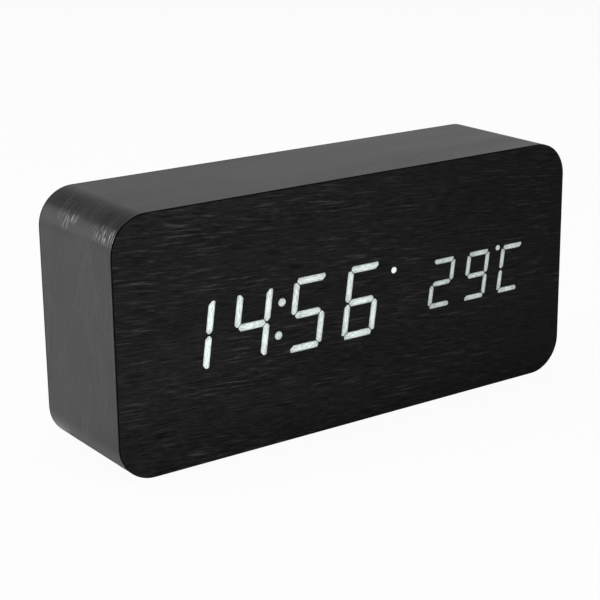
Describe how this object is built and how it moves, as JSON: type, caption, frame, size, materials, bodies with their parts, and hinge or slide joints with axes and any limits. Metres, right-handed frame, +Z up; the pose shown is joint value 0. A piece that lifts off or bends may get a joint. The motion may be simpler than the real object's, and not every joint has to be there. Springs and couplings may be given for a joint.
{
  "type": "digital block desk clock",
  "caption": "Black wood-grain block desk clock with glowing seven-segment time and temperature, press buttons, power socket and hinged battery door in the rear cover.",
  "frame": {"origin": "middle of the underside, where the clock rests on its surface", "axes": "+X to the right along the length as the display is read, +Y from the front to the rear, +Z up"},
  "size_m": [0.15, 0.0384, 0.0695],
  "materials": {
    "mdf": "raw machined fibreboard",
    "veneer": "black wood-grain film, satin",
    "glow": "veneer lit from behind",
    "housing": "black moulded",
    "resin": "milky cast resin",
    "led": "phosphor",
    "board": "green solder mask",
    "chip": "moulded epoxy",
    "steel": "zinc plated",
    "connector": "white moulded",
    "ribbon": "grey insulation",
    "cover": "fine moulded texture",
    "button": "moulded",
    "cell": "printed sleeve",
    "contact": "nickel plated",
    "lead": "insulation",
    "can": "drawn can",
    "sleeve": "shrink sleeve",
    "buzzer": "moulded",
    "bead": "dipped resin",
    "pin": "plated",
    "switch": "moulded"
  },
  "bodies": {
    "clock": {"case_block": "mdf", "wrap_veneer": "veneer", "rear_veneer": "veneer", "front_veneer": "veneer", "time_glow": "glow", "temperature_glow": "glow", "display_reflector": "housing", "time_diffusers": "resin", "temperature_diffusers": "resin", "segment_leds": "led", "display_board": "board", "display_screws": "steel", "display_driver": "chip", "display_socket": "connector", "board_socket": "connector", "ribbon_cable": "ribbon", "rear_cover": "cover", "cover_screws": "steel", "battery_cells": "cell", "battery_springs": "contact", "battery_contacts": "contact", "battery_leads": "lead", "main_board": "board", "board_screws": "steel", "microcontroller": "chip", "clock_crystal": "can", "smoothing_capacitor": "sleeve", "alarm_buzzer": "buzzer", "microphone": "can", "temperature_sensor": "bead", "power_socket": "housing", "socket_pin": "pin", "switch_bodies": "switch"},
    "set_key": {"set_button": "button", "set_plunger": "switch"},
    "up_key": {"up_button": "button", "up_plunger": "switch"},
    "down_key": {"down_button": "button", "down_plunger": "switch"},
    "door": {"battery_door": "cover"}
  },
  "joints": [
    {"name": "set_press", "type": "slide", "parent": "clock", "child": "set_key", "axis": [0, -1, 0], "range_m": [0, 0.0004], "stiffness_N_per_m": 800},
    {"name": "up_press", "type": "slide", "parent": "clock", "child": "up_key", "axis": [0, -1, 0], "range_m": [0, 0.0004], "stiffness_N_per_m": 800},
    {"name": "down_press", "type": "slide", "parent": "clock", "child": "down_key", "axis": [0, -1, 0], "range_m": [0, 0.0004], "stiffness_N_per_m": 800},
    {"name": "door_hinge", "type": "hinge", "parent": "clock", "child": "door", "pos_m": [-0.035, 0.0175, 0.01695], "axis": [-1, 0, 0], "range_deg": [0, 90]}
  ]
}
